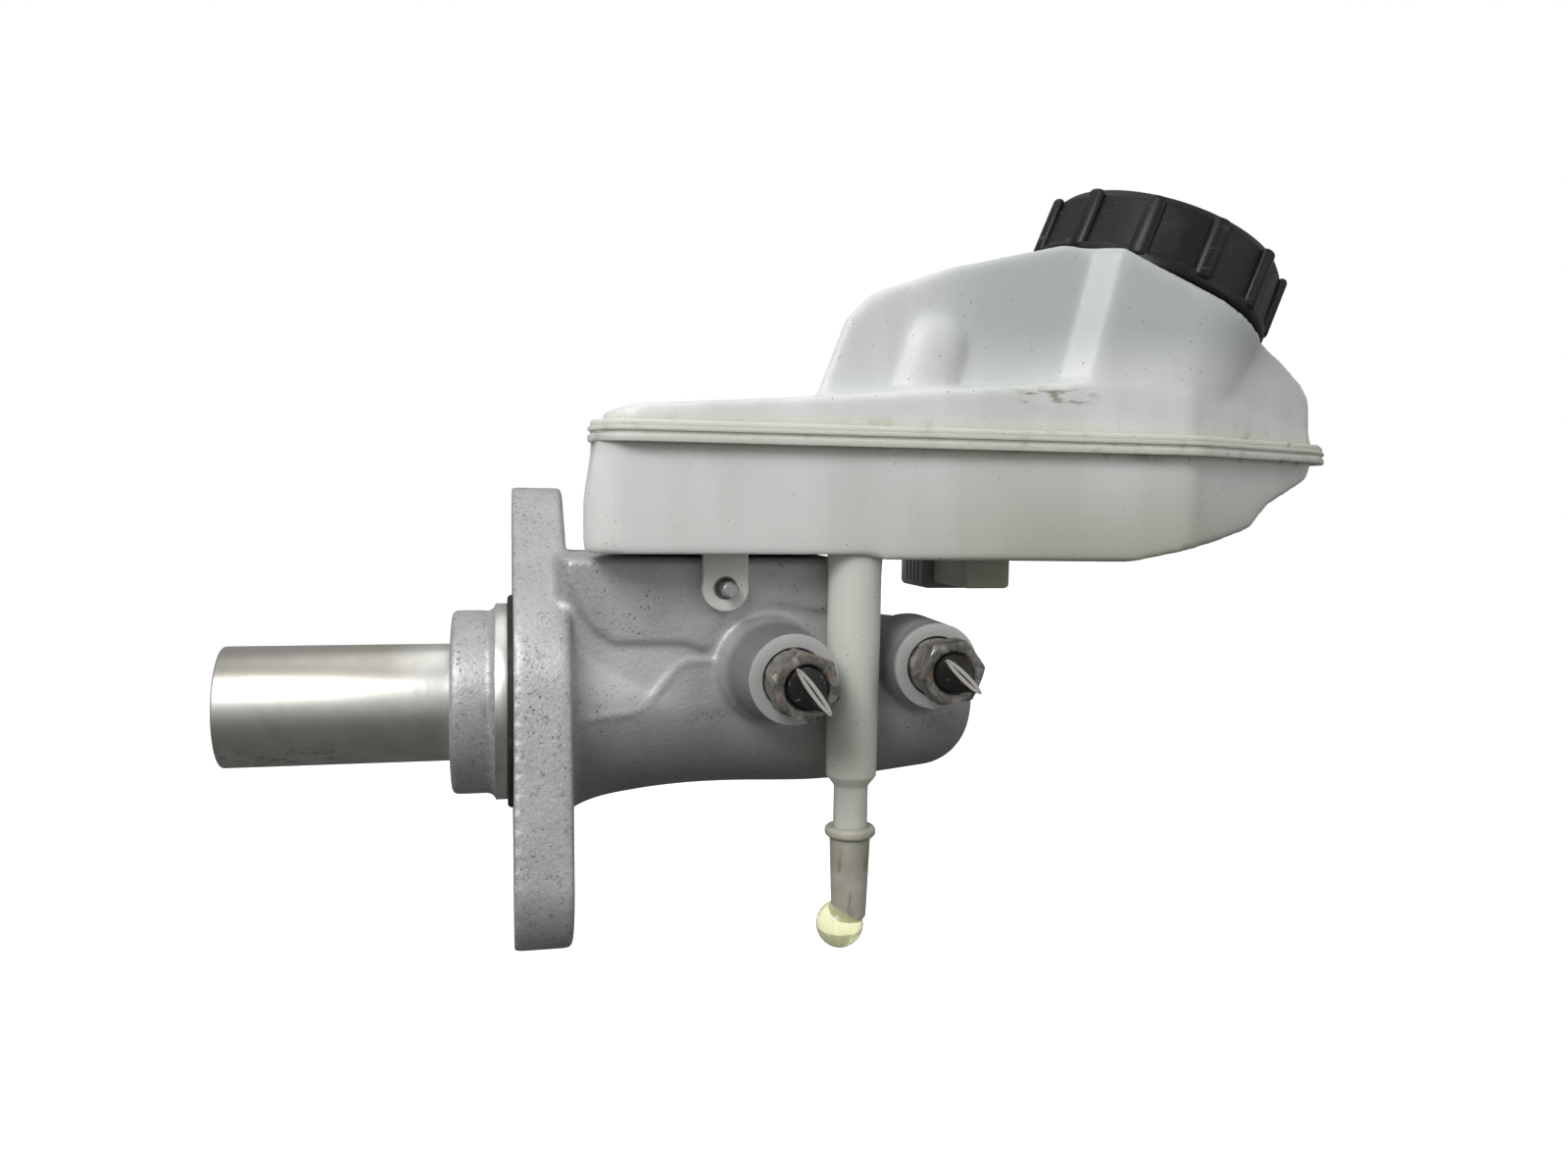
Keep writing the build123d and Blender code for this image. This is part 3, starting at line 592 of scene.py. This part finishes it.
bmesh.ops.spin(
    rib, geom=rib.verts[:] + rib.edges[:] + rib.faces[:], cent=(0, 0, 0), axis=(0, 0, 1),
    angle=math.tau * (rib_count - 1) / rib_count, steps=rib_count - 1, use_duplicate=True,
)
bmesh.ops.transform(rib, matrix=cap_lean, verts=rib.verts)
bmesh.ops.recalc_face_normals(rib, faces=rib.faces)
put(join(crown, rib), "screw_cap", black, "cap", "cap_plastic", "filler_cap")

# ---- brake outlets: tube nuts ----------------------------------------------------------
# Two flare nuts that clamp the brake pipes: 14 mm hexagons on a round shank, steel with
# most of its plating gone, brown rust in the corners and bright rubbed hexagon edges.
steel = Finish("nut_steel", Specular_IOR_Level=0.5)
rust = steel.place.noise(330, 6)
tarnish = steel.place.noise(900, 4)
rusty = rust.fade(0.46, 0.62)
steel_colour = tarnish.fade(0.35, 0.7).over(rgb(0.17, 0.17, 0.16), rgb(0.38, 0.37, 0.34))
steel_colour = (rusty * 0.7).over(steel_colour, rgb(0.13, 0.085, 0.05))
steel_colour = (steel.edge_pointiness().fade(0.52, 0.58) * 0.6).over(steel_colour, rgb(0.55, 0.53, 0.49))
steel.feed("Base Color", steel_colour)
steel.feed("Metallic", 0.9 - 0.6 * rusty)
steel.feed("Roughness", 0.34 + 0.3 * rusty + 0.15 * tarnish)
steel.bump(tarnish + 1.4 * rust, 0.06 * mm)


half_flats = 7.0
nut_bore = 4.6


def flare_nut(port, turn):
    """Hexagon cut from a turned blank whose corners are chamfered, on its shank."""
    blank = turned([
        (5.2, 11.5), (7.1, 11.5), (8.2, 10.7), (8.2, 4.6), (7.3, 4.0), (nut_bore, 4.0), (nut_bore, 10.7),
    ], 72)
    for side in range(6):
        angle = math.radians(60 * side + turn)
        facing = Vector((math.cos(angle), math.sin(angle), 0))
        cut(blank, facing * half_flats * mm, facing)
    shank = turned([(nut_bore, 4.4), (6.9, 4.4), (6.9, -13.0), (nut_bore, -13.0)], 48)
    nut = join(soften(blank, 0.12, 1, 25), shank)
    bmesh.ops.transform(nut, matrix=Matrix.Translation(port) @ out_of_port, verts=nut.verts)
    return nut


nuts = join(flare_nut(rear_port, 12), flare_nut(front_port, 38))
put(nuts, "flare_nuts", steel, "cylinder", "nut_steel", "tube_nuts")

# ---- brake outlets: cut pipes ----------------------------------------------------------
# What is left of the two brake pipes: plastic-coated steel tube, cut off with side cutters
# that pinched each end flat, so the rim shows bare metal round a closed dark slit.
coat = Finish("pipe_coating", Specular_IOR_Level=0.5)
bare = (1 - coat.y.fade(-0.0585, -0.0581)) + coat.y.near(-0.0488, 0.0009) * coat.x.fade(0.085, 0.09)
coat_wear = coat.place.noise(600, 5)
chips = coat_wear.fade(0.62, 0.68) * (1 - coat.y.fade(-0.047, -0.043))
shown = (bare * coat.edge_pointiness().fade(0.36, 0.46) + chips * 0.4).fade(0.0, 1.0)
coat.feed("Base Color", shown.over(rgb(0.018, 0.018, 0.018), rgb(0.62, 0.60, 0.54)))
coat.feed("Metallic", 0.4 * shown)
coat.feed("Roughness", 0.42 + 0.2 * coat_wear)
coat.bump(coat_wear, 0.05 * mm)


pipe_radius = 4.45
pinched = 2.1


def pinched_pipe(port, tilt, width):
    """Round tube squeezed flat at its cut end, with the slit left open by the cutters."""
    tube = bmesh.new()
    bmesh.ops.create_circle(tube, segments=40, radius=pipe_radius * mm)
    bmesh.ops.translate(tube, verts=tube.verts, vec=(0, 0, -14.0 * mm))
    rim = tube.edges[:]
    wide = 1.0
    thick = 1.0
    for rise, squeeze in ((25.6, 0.0), (1.4, 0.18), (1.4, 0.5), (1.4, 0.82), (1.2, 1.0), (0.8, 1.0)):
        grown = bmesh.ops.extrude_edge_only(tube, edges=rim)["geom"]
        rim = only(bmesh.types.BMEdge, grown)
        ring = only(bmesh.types.BMVert, grown)
        next_wide = 1 + (width / (2 * pipe_radius) - 1) * squeeze
        next_thick = 1 + (pinched / (2 * pipe_radius) - 1) * squeeze
        bmesh.ops.scale(tube, verts=ring, vec=(next_wide / wide, next_thick / thick, 1))
        bmesh.ops.translate(tube, verts=ring, vec=(0, 0, rise * mm))
        wide, thick = next_wide, next_thick
    end = bmesh.ops.edgeloop_fill(tube, edges=rim)["faces"]
    bmesh.ops.recalc_face_normals(tube, faces=tube.faces)
    bmesh.ops.inset_region(tube, faces=end, thickness=0.6 * mm, use_even_offset=True)
    bmesh.ops.scale(tube, verts=list({v for face in end for v in face.verts}), vec=(0.96, 0.4, 1))
    bmesh.ops.inset_region(tube, faces=end, thickness=0.02 * mm, depth=-0.8 * mm)
    bmesh.ops.recalc_face_normals(tube, faces=tube.faces)
    place = Matrix.Translation(port) @ out_of_port @ Matrix.Rotation(math.radians(tilt), 4, "Z")
    bmesh.ops.transform(tube, matrix=place, verts=tube.verts)
    return tube


pipes = join(pinched_pipe(rear_port, -53, 12.6), pinched_pipe(front_port, -43, 11.6))
put(pipes, "cut_pipes", coat, "cylinder", "pipe_coating", "pipe_stubs")

# ---- retaining pin and cage hardware ---------------------------------------------------
# The zinc-plated pin driven through both lugs and the casting, its ends left as sheared,
# and inside the bore the screw, spring hat and stop washer of the same plated steel.
zinc = Finish("zinc_steel", Metallic=1.0)
crystal = zinc.place.noise(1900, 3)
zinc.feed("Base Color", crystal.over(rgb(0.42, 0.42, 0.41), rgb(0.85, 0.85, 0.83)))
zinc.feed("Roughness", 0.25 + 0.3 * crystal)
zinc.bump(crystal, 0.12 * mm)
across_tank = Matrix.Rotation(math.radians(-90), 4, "X")
pin = turned(
    [(0, -30.4), (1.4, -30.4), (1.9, -29.9), (1.9, 31.9), (1.4, 32.4), (0, 32.4)], 32,
    Matrix.Translation((pin_x * mm, 0, pin_z * mm)) @ across_tank,
)
put(pin, "reservoir_pin", zinc, "cylinder", "zinc_steel", "retaining_pin")
dress(zinc, "cage_screw", "cage_hat", "stop_washer")

# ---- pistons ---------------------------------------------------------------------------
# Two pistons that share the bore, turned from aluminium and hard anodised a dull straw grey.
anodised = Finish("piston_aluminium", Metallic=0.8)
lathe = anodised.place.noise(1.0, 2, (4200, 80, 80))
wash = anodised.place.noise(120, 3)
anodised.feed("Base Color", wash.over(rgb(0.34, 0.32, 0.26), rgb(0.48, 0.46, 0.40)))
anodised.feed("Roughness", 0.34 + 0.2 * lathe)
anodised.bump(lathe, 0.02 * mm)
dress(anodised, "primary_piston", "secondary_piston")

# ---- springs and circlip ---------------------------------------------------------------
# Return springs coiled from oil-tempered wire, and the circlip that stops the primary
# piston: dark blue-grey spring steel with a thin film of fluid on it.
tempered = Finish("spring_steel", Metallic=1.0)
scale_marks = tempered.place.noise(700, 4)
tempered.feed("Base Color", scale_marks.over(rgb(0.20, 0.21, 0.23), rgb(0.42, 0.42, 0.43)))
tempered.feed("Roughness", 0.22 + 0.25 * scale_marks)
tempered.bump(scale_marks, 0.02 * mm)
dress(tempered, "primary_spring", "secondary_spring", "circlip")

# ---- level float and magnet ------------------------------------------------------------
# A foamed plastic float that slides on a post in the tank, with a ring magnet under it.
foam = Finish("float_plastic", Subsurface_Weight=0.1, Subsurface_Scale=1 * mm)
cells = foam.place.noise(1300, 3)
foam.feed("Base Color", cells.over(rgb(0.50, 0.42, 0.28), rgb(0.66, 0.58, 0.42)))
foam.feed("Roughness", 0.6 + 0.2 * cells)
foam.bump(cells, 0.08 * mm)
dress(foam, "level_float")
ferrite = Finish("magnet_ferrite", Metallic=0.1)
sinter = ferrite.place.noise(1500, 3)
ferrite.feed("Base Color", sinter.over(rgb(0.035, 0.034, 0.033), rgb(0.09, 0.088, 0.085)))
ferrite.feed("Roughness", 0.5 + 0.3 * sinter)
ferrite.bump(sinter, 0.05 * mm)
dress(ferrite, "float_magnet")

# ---- level sensor ----------------------------------------------------------------------
# The reed switch that warns of low fluid: a grey plastic stem in the tank's tunnel and a
# two-pin connector shroud at the back, with a latch ramp on top and grip ribs on its sides.
grey = Finish("sensor_plastic", Specular_IOR_Level=0.45)
grey_cloud = grey.place.noise(200, 4)
grey_colour = grey_cloud.fade(0.35, 0.7).over(rgb(0.17, 0.175, 0.175), rgb(0.27, 0.275, 0.27))
grey_colour = (grey.edge_pointiness().fade(0.52, 0.6) * 0.5).over(grey_colour, rgb(0.42, 0.42, 0.41))
grey.feed("Base Color", grey_colour)
grey.feed("Roughness", 0.4 + 0.2 * grey_cloud)
grey.bump(grey.place.noise(1500, 3), 0.04 * mm)
shroud = side_block([(114.5, 25.8), (114.5, 36.2), (133.5, 36.2), (133.5, 25.8)], 22.6, 40.6)
upright_edges = [e for e in shroud.edges if abs((e.verts[0].co - e.verts[1].co).normalized().y) > 0.9]
bmesh.ops.bevel(
    shroud, geom=upright_edges, offset=1.8 * mm, segments=4, profile=0.5, affect="EDGES", clamp_overlap=True,
    material=-1,
)
mouth_face = [f for f in shroud.faces if f.normal.y > 0.9]
bmesh.ops.inset_region(shroud, faces=mouth_face, thickness=1.7 * mm, use_even_offset=True)
bmesh.ops.inset_region(shroud, faces=mouth_face, thickness=0.05 * mm, depth=-11.5 * mm)
soften(shroud, 0.3, 2, 50)
stem_z = 31.8
stem = turned(
    [(0, 2.5), (3.0, 2.5), (3.6, 3.1), (3.6, 23.5), (0, 23.5)], 40,
    Matrix.Translation((float_x * mm, 0, stem_z * mm)) @ across_tank,
)
grips = [
    block(x, x + 0.8, y, y + 1.4, 27.6, 34.4, 0.25)
    for y in (26, 29, 32, 35) for x in (114.1, 133.1)
]
latch = soften(side_block([(121, 36.0), (121, 36.9), (127, 36.9), (127, 36.0)], 31, 38.5), 0.3)
put(join(shroud, stem, latch, *grips), "sensor_shell", grey, "cylinder", "sensor_plastic", "level_sensor")
brass = Finish("sensor_brass", Metallic=1.0)
brass_wear = brass.place.noise(900, 3)
brass.feed("Base Color", brass_wear.over(rgb(0.62, 0.48, 0.22), rgb(0.80, 0.68, 0.40)))
brass.feed("Roughness", 0.25 + 0.2 * brass_wear)
brass.bump(brass_wear, 0.02 * mm)
dress(brass, "sensor_pins")

# ---- nozzle blanking cap ---------------------------------------------------------------
# The soft cap pushed over the unused clutch feed: greyish beige thermoplastic rubber with a
# rolled bead at its mouth, rubbed brown along one side.
beige = Finish("blanking_plastic", Subsurface_Weight=0.25, Subsurface_Scale=2 * mm)
beige_cloud = beige.place.noise(160, 4)
beige_mark = beige.place.noise(300, 5, (1, 1, 0.3)).fade(0.6, 0.68) * (1 - beige.z.fade(-0.038, -0.03))
beige_colour = beige_cloud.fade(0.3, 0.7).over(rgb(0.44, 0.43, 0.35), rgb(0.56, 0.55, 0.46))
beige_colour = (beige_mark * 0.6).over(beige_colour, rgb(0.25, 0.19, 0.11))
beige.feed("Base Color", beige_colour)
beige.feed("Roughness", 0.42 + 0.2 * beige_cloud)
beige.bump(beige.place.noise(1400, 3), 0.03 * mm)
put(
    soften(post(nozzle_x, nozzle_y, [
        (4.1, -27.4), (5.6, -27.4), (6.1, -28.0), (6.1, -29.2), (5.6, -29.8), (4.9, -30.1), (4.15, -49.3),
        (3.2, -50.5), (0, -50.5), (0, -47), (3.6, -47), (3.6, -30), (4.1, -30),
    ]), 0.35, 3, 20),
    "blanking_sleeve", beige, "cylinder", "blanking_plastic", "nozzle_cap",
)

# ---- drip plug -------------------------------------------------------------------------
# The clear yellow-green shipping plug pushed over the sleeve's end: soft glossy vinyl,
# dipped, so it is a thick round drop with fine runs down its sides.
vinyl = Finish("plug_plastic", Transmission_Weight=0.75, IOR=1.42)
runs = vinyl.place.noise(900, 3, (1, 1, 0.08))
vinyl.feed("Base Color", runs.fade(0.35, 0.65).over(rgb(0.86, 0.88, 0.50), rgb(0.97, 0.98, 0.78)))
vinyl.feed("Roughness", 0.10 + 0.15 * runs)
vinyl.bump(runs, 0.12 * mm)
drop_radius = 5.7
drop_z = -51.6
drop = bmesh.new()
bmesh.ops.create_uvsphere(drop, u_segments=48, v_segments=32, radius=drop_radius * mm)
bmesh.ops.translate(drop, verts=drop.verts, vec=((nozzle_x - 2.0) * mm, (nozzle_y + 0.5) * mm, drop_z * mm))
put(drop, "clear_plug", vinyl, "cylinder", "plug_plastic", "drip_plug")

# ---- studio ----------------------------------------------------------------------------
# A pale floor well below the part, a bright surround and three soft lamps: one high on the
# left, one overhead and a weak one on the right.
paper = Finish("studio_floor", Roughness=0.9)
paper_tone = paper.place.noise(4, 2)
paper.feed("Base Color", paper_tone.over(rgb(0.93, 0.93, 0.93), rgb(0.96, 0.96, 0.96)))
paper.shader.inputs["Emission Color"].default_value = rgb(1, 1, 1)
paper.shader.inputs["Emission Strength"].default_value = 0.85
floor_z = -0.17
ground = bmesh.new()
bmesh.ops.create_grid(ground, x_segments=1, y_segments=1, size=6.0)
bmesh.ops.translate(ground, verts=ground.verts, vec=(0, 0, floor_z))
ground_mesh = bpy.data.meshes.new("floor")
ground.to_mesh(ground_mesh)
ground.free()
ground_mesh.materials.append(paper.material)
floor = bpy.data.objects.new("floor", ground_mesh)
bpy.context.scene.collection.objects.link(floor)
floor.visible_diffuse = False
floor.visible_glossy = False

world = bpy.data.worlds.new("studio")
world.use_nodes = True
bpy.context.scene.world = world
air = Wire(world.node_tree)
height = air.make("SeparateXYZ", {}, {0: air.make("TexCoord", {}, {}, "Generated")}, 2)
glow = 0.10 + 0.26 * height.fade(-0.4, 0.1)
seen = air.make("LightPath", {}, {}, "Is Camera Ray")
strength = glow + seen * (1 - glow)
world.node_tree.links.new(strength.socket, world.node_tree.nodes["Background"].inputs["Strength"])
world.node_tree.nodes["Background"].inputs["Color"].default_value = rgb(1, 1, 1)

aim = Vector((0.08, 0, 0.03))
for name, spot, size, power in (
    ("key", (-0.30, -0.48, 0.46), 0.30, 3.3),
    ("overhead", (0.00, 0.10, 0.65), 0.50, 0.6),
    ("fill", (0.55, -0.50, 0.20), 0.40, 0.4),
):
    lamp = bpy.data.lights.new(name, "AREA")
    lamp.size = size
    lamp.energy = power
    holder = bpy.data.objects.new(name, lamp)
    holder.location = spot
    holder.rotation_euler = (aim - Vector(spot)).to_track_quat("-Z", "Y").to_euler()
    bpy.context.scene.collection.objects.link(holder)

# ---- camera ----------------------------------------------------------------------------
# Close in front of the flange at the reservoir's floor height, turned towards the ports.
heading = math.radians(13.4)
dip = math.radians(-4.2)
roll = math.radians(0.85)
viewpoint = (-0.002, -0.296, 0.050)
lens = 27.045
ahead = Vector((math.sin(heading) * math.cos(dip), math.cos(heading) * math.cos(dip), math.sin(dip)))
level = Vector((math.cos(heading), -math.sin(heading), 0))
above = level.cross(ahead)
across = level * math.cos(roll) + above * math.sin(roll)
upward = above * math.cos(roll) - level * math.sin(roll)
camera = bpy.data.objects.new("camera", bpy.data.cameras.new("camera"))
camera.data.lens = lens
camera.data.clip_start = 0.01
axes = Matrix((across, upward, -ahead)).transposed().to_4x4()
camera.matrix_world = Matrix.Translation(viewpoint) @ axes
bpy.context.scene.collection.objects.link(camera)
bpy.context.scene.camera = camera
bpy.context.scene.view_settings.view_transform = "Standard"
